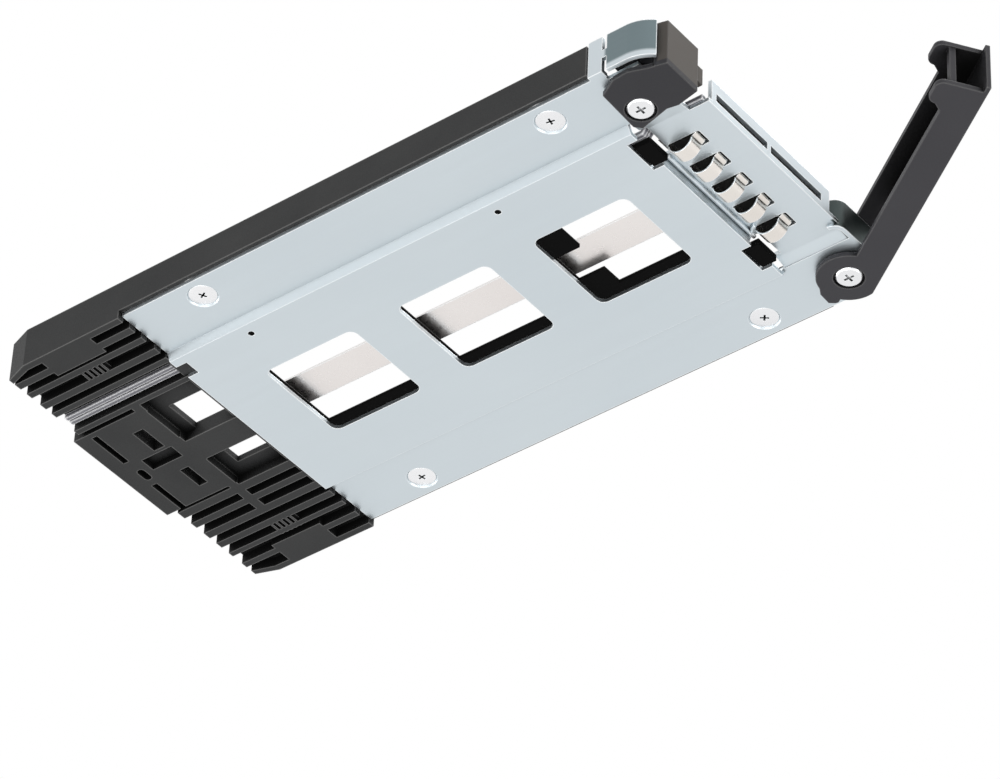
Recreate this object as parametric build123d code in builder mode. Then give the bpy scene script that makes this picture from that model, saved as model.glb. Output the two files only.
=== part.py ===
"""Slim hot swap caddy for a 7 mm high, 2.5 inch drive: folded steel base plate,
moulded tray frame, swinging front lever with a rocker latch, and four drive screws.

Frame: millimetres, +Z up (the drive lies on top), the front faces -Y, the lever pivots
at the +X side. The origin is the centre of the four drive screws, on the plane where the
drive's underside seats.
"""
from math import cos, radians, sin
import os

from build123d import *

# Drive that the caddy carries
DRIVE_WIDTH = 69.85
DRIVE_LENGTH = 100.45
HOLE_SPACING_X = 61.72
HOLE_SPACING_Y = 76.60
CONNECTOR_TO_HOLES = 14.0
DRIVE_SIDE_CLEARANCE = 0.175
DRIVE_END_CLEARANCE = 0.35

# Folded steel base plate: pressed field, margins and raised front band
SHEET = 0.80
DIMPLE_HEIGHT = 0.90
PAN_DEPTH = 1.50
BAND_RISE = 2.20
SLOPE_OUTER_X = 22.8
SLOPE_RUN = 0.90
PLATE_REAR_MARGIN = 1.20
BAND_DEPTH = 14.15
BAND_HALF_WIDTH = 19.6
STEP_HALF = 12.6
STEP_RUN = 0.9

# Front wall and the two ears
FRONT_WALL_RISE = 5.4
FRONT_WALL_LEFT_X = -18.4
FRONT_WALL_RIGHT_X = 15.8
VENT_HEIGHT = 1.70
VENT_RISE = 2.25
VENT_MARGIN = 1.30
VENT_BRIDGE_X = -1.9
VENT_BRIDGE = 1.0
EAR_R = 5.4
EAR_END_R = 2.0
EAR_LOW_RISE = 2.3
EAR_SWEEP = 62.0
LEFT_EAR_RISE = 7.2
LEFT_EAR_CURL_R = 7.2
LEFT_EAR_CURL = (1.9, 4.5)
EAR_NECK_RISE = 3.2
EAR_NECK = 1.8
EAR_NECK_GAP = 0.9

# Windows through the plate and through the frame floor above it
WINDOW_SIZE = 20.0
WINDOW_CORNER_R = 1.6
WINDOW_PITCH = 29.9
WINDOW_MID_Y = 1.5
WINDOW_COUNT = 3
FLOOR_WINDOW_LEFT_X = -9.6
FLOOR_WINDOW_RIGHT_X = 7.9
FRONT_WINDOW_COVER = 5.4

# Moulded pins and snap hooks of the frame, and their holes in the plate
PIN_X = -19.5
PIN_Y = (36.6, -18.4)
PIN_R = 0.5
HOOK_OUTER_X = 18.9
HOOK_HOLE = 3.8
HOOK_SIDE_GAP = 0.5

# Finger strip at the front
FINGER_COUNT = 5
FINGER_PITCH = 6.3
FINGER_WIDTH = 2.8
FINGER_SLOT_WIDTH = 3.4
FINGER_SLOT_LENGTH = 6.6
FINGER_SLOT_SETBACK = 5.1
FINGER_BULGE = 2.3
STRIP_SHEET = 0.25
STRIP_MARGIN = 1.7

# Countersunk drive screws
SCREW_R = 1.50
SCREW_HEAD_R = 2.75
SCREW_CONE = 1.65
SCREW_ENGAGE = 2.80
SCREW_CLEARANCE = 0.12

# Moulded tray frame: side rails, floor and rear deck
RAIL_WALL = 0.80
RAIL_GAP = 0.10
RAIL_HEIGHT = 6.70
RAIL_SETBACK = 1.0
LEDGE_WIDTH = 1.0
FRAME_FLOOR = 0.80
DECK_LENGTH = 28.4
DECK_TAPER = 4.7
DECK_TAPER_X = 1.6
NOSE_WALL = 1.40
NOSE_LENGTH = 8.7
DECK_SKIN_TOP_Z = 0.70
DECK_SKIN = 1.30
DECK_RIB_HEIGHT = 2.10
TONGUE_LENGTH = 2.2
TONGUE_X = (-14.0, 12.4)

# Ribs under the deck, as distance in from each outer edge and width
RIBS_LEFT = ((3.1, 1.6), (6.3, 1.4), (9.9, 1.6), (13.0, 1.3), (19.1, 1.2))
RIBS_RIGHT = ((4.1, 1.4), (8.1, 1.2), (11.3, 1.6), (14.7, 1.8), (18.5, 1.6), (21.9, 2.0))

# Windows and recesses of the rear deck: X limits, then distances in from its rear end
DECK_WINDOWS = ((-10.5, -3.0, 26.1, 17.0), (3.0, 8.8, 26.1, 17.0), (-10.1, -4.2, 10.7, 8.3),
                (2.8, 8.2, 10.4, 8.5))
PANEL_RECESSES = ((-13.4, -4.6, 2.5, 1.3), (3.2, 11.4, 2.5, 1.3), (-13.4, -4.6, 16.3, 14.5),
                  (3.2, 11.4, 16.3, 14.5), (-3.4, -0.2, 11.6, 4.6))
PANEL_SKIN = 0.70
PANEL_HOLE_LENGTH = 3.2
PANEL_HOLE_WIDTH = 1.5
PANEL_HOLE_INSET = 2.3

# Ribbed friction pads under the deck
GRIP_LEFT_INSET = 6.5
GRIP_RIGHT_INSET = 12.3
GRIP_WIDTH = 4.6
GRIP_LENGTH = 5.8
GRIP_REAR_INSET = 11.3
GRIP_RIB = 0.5
GRIP_RIB_PITCH = 1.1
GRIP_RIB_COUNT = 5

# Light pipes and the steel strip over the windows
PIPE_WIDTH = 1.0
PIPE_INSETS = (16.8, 18.1)
PIPE_GUIDE = 0.70
STRIP_HALF = 3.5
STRIP_THICK = 0.40
STRIP_SETBACK = 3.2
SEAT_MARGIN = 1.2
SEAT_OVERHANG = 0.6
SEAT_END = 7.3

# Lever; its cam tooth is an outline from the pivot along and across the lever
TOOTH = ((-4.0, 0.6), (-6.6, 0.6), (-7.0, 0.2), (-7.4, -1.0), (-5.8, -3.1), (-4.0, -4.0))
PIVOT_INSET = 5.8
PIVOT_SETBACK = 8.9
LEVER_OPEN_ANGLE = 55.5
LEVER_TO_LATCH = 2.3
LEVER_FACE = 5.30
LEVER_BACK = 0.80
LEVER_WALL = 0.85
LEVER_WALL_START = 14.0
LOBE_DEPTH = 3.7
LOBE_LENGTH = 5.2
LOBE_R = 1.5
WEB = 1.0
LEVER_HEIGHT = 9.8
HUB_R = 5.8
PAD_R = 5.8
LEVER_END_SHORT = 1.4
CATCH_SIZE = 1.2
CATCH_END_GAP = 2.3
CATCH_FACE_GAP = 6.1

# Latch: outline round its pivot, up to the front edge, then back from it
LATCH_OUTLINE_LEFT = ((-6.5, 3.1), (-8.5, -0.5), (-8.7, -3.6), (-7.5, -6.9))
LATCH_OUTLINE_RIGHT = ((2.7, -5.9), (2.3, -3.6), (3.8, 2.4), (2.7, 3.5))
LATCH_FRONT_LEFT_X = -6.7
LATCH_FRONT_RIGHT_X = 1.8
LATCH_INSET = 9.3
LATCH_SETBACK = 4.9
LATCH_FRONT = 10.4
LATCH_WALL = 1.50
LATCH_PAD = 5.2
LATCH_HOOK_REACH = 3.85
LATCH_HOOK_HEIGHT = 3.6

# Pivot posts, shoulder screws and torsion springs
POST_R = 2.0
POST_TENON_R = 1.75
SPIGOT_R = 1.25
SHOULDER_R = 1.75
PIVOT_HEAD_R = 2.45
PIVOT_HEAD_H = 0.60
HEAD_RECESS = 0.05
BOSS_WALL = 0.9
THREAD_R = 1.10
THREAD_LENGTH = 4.3
CROSS_LENGTH = 2.0
CROSS_WIDTH = 0.45
CROSS_DEPTH = 0.35
RUN_CLEARANCE = 0.05
SPRING_WIRE_R = 0.24
WIRE_SIDES = 6
SPRING_TURNS = 2
SPRING_PITCH = 0.60
SPRING_CLEARANCE = 0.15
LEVER_SPRING_START = 3.7
LEVER_SPRING_END = 3.4
LATCH_SPRING_START = 2.2

# Small gap between parts that must not touch
GAP = 0.30

# Heights beyond the whole part, for cuts that go right through
LOW = -12.0
HIGH = 16.0

# Heights that follow, from the drive's seat at Z = 0
PLATE_TOP_Z = -DIMPLE_HEIGHT
MARGIN_Z = PLATE_TOP_Z - SHEET
PAN_Z = MARGIN_Z - PAN_DEPTH
PAN_TOP_Z = PAN_Z + SHEET
BAND_Z = PAN_Z + BAND_RISE
BAND_TOP_Z = BAND_Z + SHEET
RAIL_TOP_Z = PLATE_TOP_Z + RAIL_HEIGHT
FLOOR_TOP_Z = PAN_TOP_Z + FRAME_FLOOR
DECK_SKIN_Z = DECK_SKIN_TOP_Z - DECK_SKIN
DECK_LOW_Z = DECK_SKIN_Z - DECK_RIB_HEIGHT
LEVER_Z = PAN_Z
LEVER_TOP_Z = LEVER_Z + LEVER_HEIGHT
LOW_WEB_TOP_Z = LEVER_Z + WEB
TOP_WEB_Z = LEVER_TOP_Z - WEB
BOSS_TOP_Z = MARGIN_Z - 0.2
HEAD_Z = LEVER_Z + HEAD_RECESS
RECESS_TOP_Z = HEAD_Z + PIVOT_HEAD_H + RUN_CLEARANCE

# Plan positions that follow
DRIVE_REAR_Y = HOLE_SPACING_Y / 2 + CONNECTOR_TO_HOLES
PLATE_REAR_Y = DRIVE_REAR_Y + PLATE_REAR_MARGIN
PAN_FRONT_Y = DRIVE_REAR_Y - DRIVE_LENGTH - DRIVE_END_CLEARANCE
FRONT_WALL_Y = PAN_FRONT_Y - BAND_DEPTH
FINGER_SLOT_Y = PAN_FRONT_Y - FINGER_SLOT_SETBACK
RAIL_FRONT_Y = PAN_FRONT_Y - RAIL_SETBACK
RAIL_INNER_X = DRIVE_WIDTH / 2 + DRIVE_SIDE_CLEARANCE
RAIL_OUTER_X = RAIL_INNER_X + RAIL_WALL
PLATE_HALF_WIDTH = RAIL_INNER_X - RAIL_GAP
SLOPE_INNER_X = SLOPE_OUTER_X - SLOPE_RUN
REAR_WALL_Y = PLATE_REAR_Y + RAIL_GAP
REAR_END_Y = DRIVE_REAR_Y + DECK_LENGTH
TAPER_Y = REAR_END_Y - DECK_TAPER
NOSE_START_Y = REAR_END_Y - NOSE_LENGTH
TONGUE_Y = REAR_END_Y + TONGUE_LENGTH
PIVOT_X = PLATE_HALF_WIDTH - PIVOT_INSET
PIVOT_Y = PAN_FRONT_Y - PIVOT_SETBACK
LATCH_X = LATCH_INSET - PLATE_HALF_WIDTH
LATCH_Y = PAN_FRONT_Y - LATCH_SETBACK
LATCH_FRONT_Y = LATCH_Y - LATCH_FRONT
LATCH_PAD_Y = LATCH_Y - LATCH_PAD
LEVER_LENGTH = PIVOT_X - LATCH_X - LEVER_TO_LATCH
EAR_X = -PLATE_HALF_WIDTH - SHEET / 2
PIPE_X = [inset - RAIL_OUTER_X for inset in PIPE_INSETS]


def box(x0, x1, y0, y1, z0, z1, mode=Mode.ADD):
    """Add or cut a block given by its limits along X, Y and Z."""
    with Locations(((x0 + x1) / 2, (y0 + y1) / 2, (z0 + z1) / 2)):
        return Box(abs(x1 - x0), y1 - y0, z1 - z0, mode=mode)


def disc(x, y, r, z0, z1, mode=Mode.ADD):
    """Add or cut an upright cylinder between two heights."""
    with Locations((x, y, (z0 + z1) / 2)):
        return Cylinder(r, z1 - z0, mode=mode)


def save(piece, name):
    """Label a finished piece and write it to its own file."""
    piece.label = name
    export_step(piece, f"parts/{name}.step")


def screw_places():
    """The four drive screw axes."""
    return [(sx * HOLE_SPACING_X / 2, sy * HOLE_SPACING_Y / 2) for sx in (-1, 1) for sy in (-1, 1)]


def window_places():
    """Middle Y of each window, rear one first."""
    first = WINDOW_MID_Y + WINDOW_PITCH * (WINDOW_COUNT - 1) / 2
    return [first - WINDOW_PITCH * i for i in range(WINDOW_COUNT)]


def seat_spans():
    """Y limits of the blocks that carry the centre strip, from the front to the rear."""
    edges = [PAN_FRONT_Y + STRIP_SETBACK - SEAT_MARGIN]
    for y in reversed(window_places()):
        edges += [y - WINDOW_SIZE / 2, y + WINDOW_SIZE / 2]
    edges += [DRIVE_REAR_Y - SEAT_MARGIN / 2]
    spans = [(low + SEAT_MARGIN, high - SEAT_MARGIN) for low, high in zip(edges[::2], edges[1::2])]
    return [(max(low, high - SEAT_END), high) for low, high in spans]


def finger_places():
    """Middle X of each finger."""
    return [FINGER_PITCH * (i - (FINGER_COUNT - 1) / 2) for i in range(FINGER_COUNT)]


def hook_span(side, inset):
    """X limits of a snap hook or of its hole."""
    return side * (STEP_HALF + inset), side * (HOOK_OUTER_X - inset)


def rib_spans():
    """X limits of the ribs under the rear deck."""
    left = [(inset - RAIL_OUTER_X, inset - RAIL_OUTER_X + wide) for inset, wide in RIBS_LEFT]
    right = [(RAIL_OUTER_X - inset - wide, RAIL_OUTER_X - inset) for inset, wide in RIBS_RIGHT]
    return left + right


def lever_plane(z):
    """Plane whose local x runs along the lever and local y points out of its face."""
    turn = radians(180 + LEVER_OPEN_ANGLE)
    return Plane(origin=(PIVOT_X, PIVOT_Y, z), x_dir=(cos(turn), sin(turn), 0), z_dir=(0, 0, 1))


def pan_section(z_low, z_margin, x_shift, thickness):
    """Closed XZ section of a sheet whose middle is pressed lower than its margins."""
    outer = SLOPE_OUTER_X - x_shift
    inner = SLOPE_INNER_X - x_shift
    lean = thickness / 2
    right = [(inner, z_low), (outer, z_margin), (PLATE_HALF_WIDTH, z_margin),
             (PLATE_HALF_WIDTH, z_margin + thickness), (outer - lean, z_margin + thickness),
             (inner - lean, z_low + thickness)]
    return right + [(-x, z) for x, z in reversed(right)]


with BuildPart() as base_plate:
    # Rear field: margins with the middle pressed down between them
    with BuildSketch(Plane.XZ.offset(-PLATE_REAR_Y)):
        with BuildLine():
            Polyline(*pan_section(PAN_Z, MARGIN_Z, 0, SHEET), close=True)
        make_face()
    extrude(amount=PLATE_REAR_Y - PAN_FRONT_Y)
    # Front margins on both sides of the raised finger band
    box(SLOPE_OUTER_X, PLATE_HALF_WIDTH, PIVOT_Y, PAN_FRONT_Y, MARGIN_Z, PLATE_TOP_Z)
    box(SLOPE_OUTER_X - SHEET, PIVOT_X, PIVOT_Y - PAD_R, PAN_FRONT_Y, MARGIN_Z, PLATE_TOP_Z)
    disc(PIVOT_X, PIVOT_Y, PAD_R, MARGIN_Z, PLATE_TOP_Z)
    box(LATCH_X - LATCH_PAD - 2.7, -SLOPE_OUTER_X, LATCH_PAD_Y, PAN_FRONT_Y, MARGIN_Z, PLATE_TOP_Z)
    box(-PLATE_HALF_WIDTH, -SLOPE_OUTER_X, PAN_FRONT_Y - 4.0, PAN_FRONT_Y, MARGIN_Z, PLATE_TOP_Z)
    # Band and its two side slopes down to the margins
    with BuildSketch(Plane.XZ.offset(-PAN_FRONT_Y + SHEET / 2)):
        with BuildLine():
            half = [(BAND_HALF_WIDTH, BAND_Z), (SLOPE_OUTER_X, MARGIN_Z), (SLOPE_OUTER_X + SHEET, MARGIN_Z),
                    (SLOPE_OUTER_X + SHEET, PLATE_TOP_Z), (SLOPE_OUTER_X, PLATE_TOP_Z),
                    (BAND_HALF_WIDTH, BAND_TOP_Z)]
            Polyline(*half, *[(-x, z) for x, z in reversed(half)], close=True)
        make_face()
    extrude(amount=BAND_DEPTH - SHEET / 2)
    # Step between the pressed field and the band
    with BuildSketch(Plane.YZ.offset(-STEP_HALF)):
        with BuildLine():
            low, high = PAN_FRONT_Y + SHEET, PAN_FRONT_Y + SHEET - STEP_RUN
            Polyline((low, PAN_Z), (high, BAND_Z), (high - SHEET, BAND_Z), (high - SHEET, BAND_TOP_Z),
                     (high + SHEET / 2, BAND_TOP_Z), (low + SHEET / 2, PAN_TOP_Z), (low + 1.1, PAN_TOP_Z),
                     (low + 1.1, PAN_Z), close=True)
        make_face()
    extrude(amount=2 * STEP_HALF)
    # Front wall with its two ventilation slots
    wall_back_y = FRONT_WALL_Y + SHEET
    wall_top_z = BAND_Z + FRONT_WALL_RISE
    box(FRONT_WALL_LEFT_X, FRONT_WALL_RIGHT_X, FRONT_WALL_Y, wall_back_y, BAND_Z, wall_top_z)
    for x0, x1 in ((FRONT_WALL_LEFT_X + VENT_MARGIN, VENT_BRIDGE_X - VENT_BRIDGE / 2),
                   (VENT_BRIDGE_X + VENT_BRIDGE / 2, FRONT_WALL_RIGHT_X - VENT_MARGIN - 1.1)):
        box(x0, x1, FRONT_WALL_Y - SHEET, wall_back_y + SHEET, BAND_Z + VENT_RISE - VENT_HEIGHT / 2,
            BAND_Z + VENT_RISE + VENT_HEIGHT / 2, mode=Mode.SUBTRACT)
    # The latch needs the corner left of the front wall
    box(-SLOPE_OUTER_X - 1, FRONT_WALL_LEFT_X - SHEET, FRONT_WALL_Y - SHEET, LATCH_PAD_Y, LOW, HIGH,
        mode=Mode.SUBTRACT)
    # Right ear: curled end and straight run, then a low arc round the lever pivot
    with BuildSketch(Plane.XY.offset(MARGIN_Z)):
        with BuildLine():
            bend = (FRONT_WALL_RIGHT_X + 2.2 + EAR_END_R, PIVOT_Y - EAR_R)
            RadiusArc((bend[0] - EAR_END_R, bend[1] + EAR_END_R), bend, -EAR_END_R)
            Line(bend, (PIVOT_X, PIVOT_Y - EAR_R))
        trace(line_width=SHEET)
    extrude(amount=wall_top_z - MARGIN_Z)
    with BuildSketch(Plane.XY.offset(MARGIN_Z)):
        with BuildLine():
            CenterArc((PIVOT_X, PIVOT_Y), EAR_R, -91, EAR_SWEEP + 1)
        trace(line_width=SHEET)
    extrude(amount=SHEET + EAR_LOW_RISE)
    # Left flange and the ear that curls round the latch
    curl_y = LATCH_Y - 4.4
    with BuildSketch(Plane.XY.offset(MARGIN_Z)):
        with BuildLine():
            Line((EAR_X, RAIL_FRONT_Y - GAP), (EAR_X, curl_y))
            curl_end = (EAR_X + LEFT_EAR_CURL[0], curl_y - LEFT_EAR_CURL[1])
            RadiusArc((EAR_X, curl_y), curl_end, -LEFT_EAR_CURL_R)
        trace(line_width=SHEET)
    extrude(amount=SHEET + LEFT_EAR_RISE)
    neck_y = RAIL_FRONT_Y - 3.2
    neck_z = PLATE_TOP_Z + EAR_NECK_RISE
    box(EAR_X - SHEET / 2, SHEET - PLATE_HALF_WIDTH, neck_y, RAIL_FRONT_Y - GAP, MARGIN_Z, PLATE_TOP_Z)
    for z0, z1 in ((LOW, neck_z - EAR_NECK / 2), (neck_z + EAR_NECK / 2, HIGH)):
        box(EAR_X - SHEET, EAR_X + SHEET, neck_y - EAR_NECK_GAP, neck_y, z0, z1, mode=Mode.SUBTRACT)
    # Windows
    with BuildSketch(Plane.XY.offset(LOW)):
        with Locations(*[(0, y) for y in window_places()]):
            RectangleRounded(WINDOW_SIZE, WINDOW_SIZE, WINDOW_CORNER_R)
    extrude(amount=HIGH - LOW, mode=Mode.SUBTRACT)
    # Finger slots
    with BuildSketch(Plane.XY.offset(BAND_Z)):
        with Locations(*[(x, FINGER_SLOT_Y) for x in finger_places()]):
            RectangleRounded(FINGER_SLOT_WIDTH, FINGER_SLOT_LENGTH, 0.4)
    extrude(amount=SHEET, mode=Mode.SUBTRACT)
    # Holes for the frame's two snap hooks and its pins, and two notches for the light pipes
    hole_rear_y = PAN_FRONT_Y + 2.1
    for side in (-1, 1):
        box(*hook_span(side, 0), hole_rear_y - HOOK_HOLE, hole_rear_y, LOW, HIGH, mode=Mode.SUBTRACT)
    for y in PIN_Y:
        disc(PIN_X, y, PIN_R + RAIL_GAP, LOW, HIGH, mode=Mode.SUBTRACT)
    for y0, y1 in ((DRIVE_REAR_Y - 1.2, PLATE_REAR_Y + 1), (hole_rear_y - HOOK_HOLE, hole_rear_y)):
        box(PIPE_X[0] - PIPE_WIDTH, PIPE_X[1] + PIPE_WIDTH, y0, y1, LOW, HIGH, mode=Mode.SUBTRACT)
    # Dimpled countersinks
    for x, y in screw_places():
        with Locations((x, y, PLATE_TOP_Z + DIMPLE_HEIGHT / 2)):
            Cone(SCREW_HEAD_R + SHEET + 0.5, SCREW_R + SHEET + 0.4, DIMPLE_HEIGHT)
        with Locations((x, y, MARGIN_Z + SCREW_CONE / 2)):
            Cone(SCREW_HEAD_R + SCREW_CLEARANCE, SCREW_R + SCREW_CLEARANCE, SCREW_CONE, mode=Mode.SUBTRACT)
        disc(x, y, SCREW_R + SCREW_CLEARANCE, LOW, HIGH, mode=Mode.SUBTRACT)
    # Holes for the two pivot posts
    for x, y in ((PIVOT_X, PIVOT_Y), (LATCH_X, LATCH_Y)):
        disc(x, y, POST_TENON_R + RUN_CLEARANCE, LOW, HIGH, mode=Mode.SUBTRACT)


def pivot_post(x, y):
    """Standoff riveted into the plate, with a spigot for the upper web."""
    shoulder_z = TOP_WEB_Z - 0.2
    with BuildPart() as post:
        disc(x, y, POST_TENON_R, MARGIN_Z, PLATE_TOP_Z)
        disc(x, y, POST_R, PLATE_TOP_Z, shoulder_z)
        disc(x, y, SPIGOT_R, shoulder_z, LEVER_TOP_Z - 0.2)
        disc(x, y, THREAD_R, MARGIN_Z, MARGIN_Z + THREAD_LENGTH + GAP, mode=Mode.SUBTRACT)
    return post.part


def cross(x, y, z):
    """Cut a cross recess into the underside of a screw head."""
    for wide, deep in ((CROSS_LENGTH, CROSS_WIDTH), (CROSS_WIDTH, CROSS_LENGTH)):
        box(x - wide / 2, x + wide / 2, y - deep / 2, y + deep / 2, z - GAP, z + CROSS_DEPTH,
            mode=Mode.SUBTRACT)


def pivot_screw(x, y):
    """Pan head shoulder screw driven up into a pivot post."""
    head_top = HEAD_Z + PIVOT_HEAD_H
    with BuildPart() as screw:
        disc(x, y, PIVOT_HEAD_R, HEAD_Z, head_top)
        chamfer(screw.faces().sort_by(Axis.Z)[0].edges(), PIVOT_HEAD_H / 2)
        disc(x, y, SHOULDER_R, head_top, MARGIN_Z)
        disc(x, y, THREAD_R - 0.02, MARGIN_Z, MARGIN_Z + THREAD_LENGTH)
        cross(x, y, HEAD_Z)
    return screw.part


def torsion_spring(x, y, turns, start_reach, end_reach):
    """Coil round a pivot post, with a straight leg at each end."""
    coil_r = POST_R + SPRING_CLEARANCE + SPRING_WIRE_R
    with BuildPart() as spring:
        with BuildLine(Plane(origin=(x, y, PLATE_TOP_Z + GAP + SPRING_WIRE_R))) as coil:
            Helix(SPRING_PITCH, SPRING_PITCH * turns, coil_r)
        path = coil.line
        with BuildSketch(Plane(origin=path @ 0, z_dir=path % 0)):
            RegularPolygon(SPRING_WIRE_R, WIRE_SIDES)
        sweep(path=path, is_frenet=True)
        # Each leg starts one wire radius inside the coil, so the two always join
        for end, way, reach in ((0, -1, start_reach), (1, 1, end_reach)):
            heading = (path % end) * way
            heading = Vector(heading.X, heading.Y, 0).normalized()
            with BuildSketch(Plane(origin=path @ end - heading * SPRING_WIRE_R, z_dir=heading)):
                RegularPolygon(SPRING_WIRE_R, WIRE_SIDES)
            extrude(amount=reach + SPRING_WIRE_R)
    return spring.part


def lever_web(z0, z1, bore_r):
    """One web: straight arm, round lobe at its far end, round heel, cam tooth and pivot bore."""
    end = LEVER_LENGTH - LEVER_END_SHORT
    with BuildSketch(lever_plane(z0)) as web:
        with BuildLine():
            a = Polyline((0, -LEVER_BACK), (0, LEVER_FACE), (end, LEVER_FACE), (end, LOBE_R - LOBE_DEPTH))
            b = RadiusArc(a @ 1, (end - LOBE_R, -LOBE_DEPTH), LOBE_R)
            c = Line(b @ 1, (end - LOBE_LENGTH + LOBE_R, -LOBE_DEPTH))
            d = RadiusArc(c @ 1, (end - LOBE_LENGTH, LOBE_R - LOBE_DEPTH), LOBE_R)
            Polyline(d @ 1, (end - LOBE_LENGTH - LOBE_R, -LEVER_BACK), a @ 0)
        make_face()
        Circle(HUB_R)
        with BuildLine():
            Polyline(*TOOTH, close=True)
        make_face()
        with Locations((0, LEVER_FACE + HUB_R / 2)):
            Rectangle(3 * HUB_R, HUB_R, mode=Mode.SUBTRACT)
        Circle(bore_r, mode=Mode.SUBTRACT)
    extrude(web.sketch, amount=z1 - z0)


with BuildPart() as lever:
    lever_web(LEVER_Z, LOW_WEB_TOP_Z, SHOULDER_R + RUN_CLEARANCE)
    lever_web(TOP_WEB_Z, LEVER_TOP_Z, SPIGOT_R + RUN_CLEARANCE)
    # Outer wall, which starts beyond the ear that reaches in between the webs
    with BuildSketch(lever_plane(LEVER_Z)):
        with BuildLine():
            inner_face = LEVER_FACE - LEVER_WALL
            Polyline((LEVER_WALL_START - LEVER_WALL, LEVER_FACE), (LEVER_LENGTH, LEVER_FACE),
                     (LEVER_LENGTH, inner_face), (LEVER_WALL_START, inner_face), close=True)
        make_face()
    extrude(amount=LEVER_HEIGHT)
    # Catch post that the latch hook holds
    with BuildSketch(lever_plane(LEVER_Z)):
        with Locations((LEVER_LENGTH - CATCH_END_GAP, LEVER_FACE - CATCH_FACE_GAP)):
            Rectangle(CATCH_SIZE, CATCH_SIZE)
    extrude(amount=LEVER_HEIGHT)
    # Boss under the plate and the recess for the screw head
    with BuildSketch(lever_plane(LOW_WEB_TOP_Z)):
        Circle(PIVOT_HEAD_R + BOSS_WALL)
        Circle(SHOULDER_R + RUN_CLEARANCE, mode=Mode.SUBTRACT)
    extrude(amount=BOSS_TOP_Z - LOW_WEB_TOP_Z)
    disc(PIVOT_X, PIVOT_Y, PIVOT_HEAD_R + GAP, LOW, RECESS_TOP_Z, mode=Mode.SUBTRACT)


def latch_web(z0, z1, bore_r):
    """One web of the latch, drawn from its pivot."""
    with BuildSketch(Plane(origin=(LATCH_X, LATCH_Y, z0))) as web:
        with BuildLine():
            Polyline(*LATCH_OUTLINE_LEFT, (LATCH_FRONT_LEFT_X, -LATCH_FRONT),
                     (LATCH_FRONT_RIGHT_X, -LATCH_FRONT), *LATCH_OUTLINE_RIGHT, close=True)
        make_face()
        Circle(bore_r, mode=Mode.SUBTRACT)
    extrude(web.sketch, amount=z1 - z0)


with BuildPart() as latch_button:
    latch_web(LEVER_Z, LOW_WEB_TOP_Z, SHOULDER_R + RUN_CLEARANCE)
    latch_web(TOP_WEB_Z, LEVER_TOP_Z, SPIGOT_R + RUN_CLEARANCE)
    # Front wall, thick at its left, and the hook at its right end
    with BuildSketch(Plane.XY.offset(LEVER_Z)):
        with BuildLine():
            left, right = LATCH_X + LATCH_FRONT_LEFT_X, LATCH_X + LATCH_FRONT_RIGHT_X
            back = LATCH_FRONT_Y + LATCH_WALL
            Polyline((left, LATCH_FRONT_Y), (right, LATCH_FRONT_Y), (right, back), (left + 2.2, back),
                     (left + 1.2, back + 1.0), (left - 0.6, back + 1.0), close=True)
        make_face()
    extrude(amount=LEVER_HEIGHT)
    box(right - GAP, LATCH_X + LATCH_HOOK_REACH, back - 1.0, back, 0, LATCH_HOOK_HEIGHT)
    # Boss under the plate and the recess for the screw head
    disc(LATCH_X, LATCH_Y, PIVOT_HEAD_R + BOSS_WALL, LOW_WEB_TOP_Z, BOSS_TOP_Z)
    disc(LATCH_X, LATCH_Y, SHOULDER_R + RUN_CLEARANCE, LEVER_Z, BOSS_TOP_Z, mode=Mode.SUBTRACT)
    disc(LATCH_X, LATCH_Y, PIVOT_HEAD_R + GAP, LOW, RECESS_TOP_Z, mode=Mode.SUBTRACT)


def side_wall(side):
    """Rail and tapered nose of one side, as a plan outline."""
    inner, outer = RAIL_INNER_X, RAIL_OUTER_X
    points = [(outer, RAIL_FRONT_Y), (outer, TAPER_Y), (outer - DECK_TAPER_X, REAR_END_Y),
              (outer - DECK_TAPER_X - 1.2, REAR_END_Y), (inner - 0.4, TAPER_Y), (inner - 0.4, NOSE_START_Y),
              (inner, NOSE_START_Y - 1.5), (inner, RAIL_FRONT_Y)]
    return [(side * x, y) for x, y in points]


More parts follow.
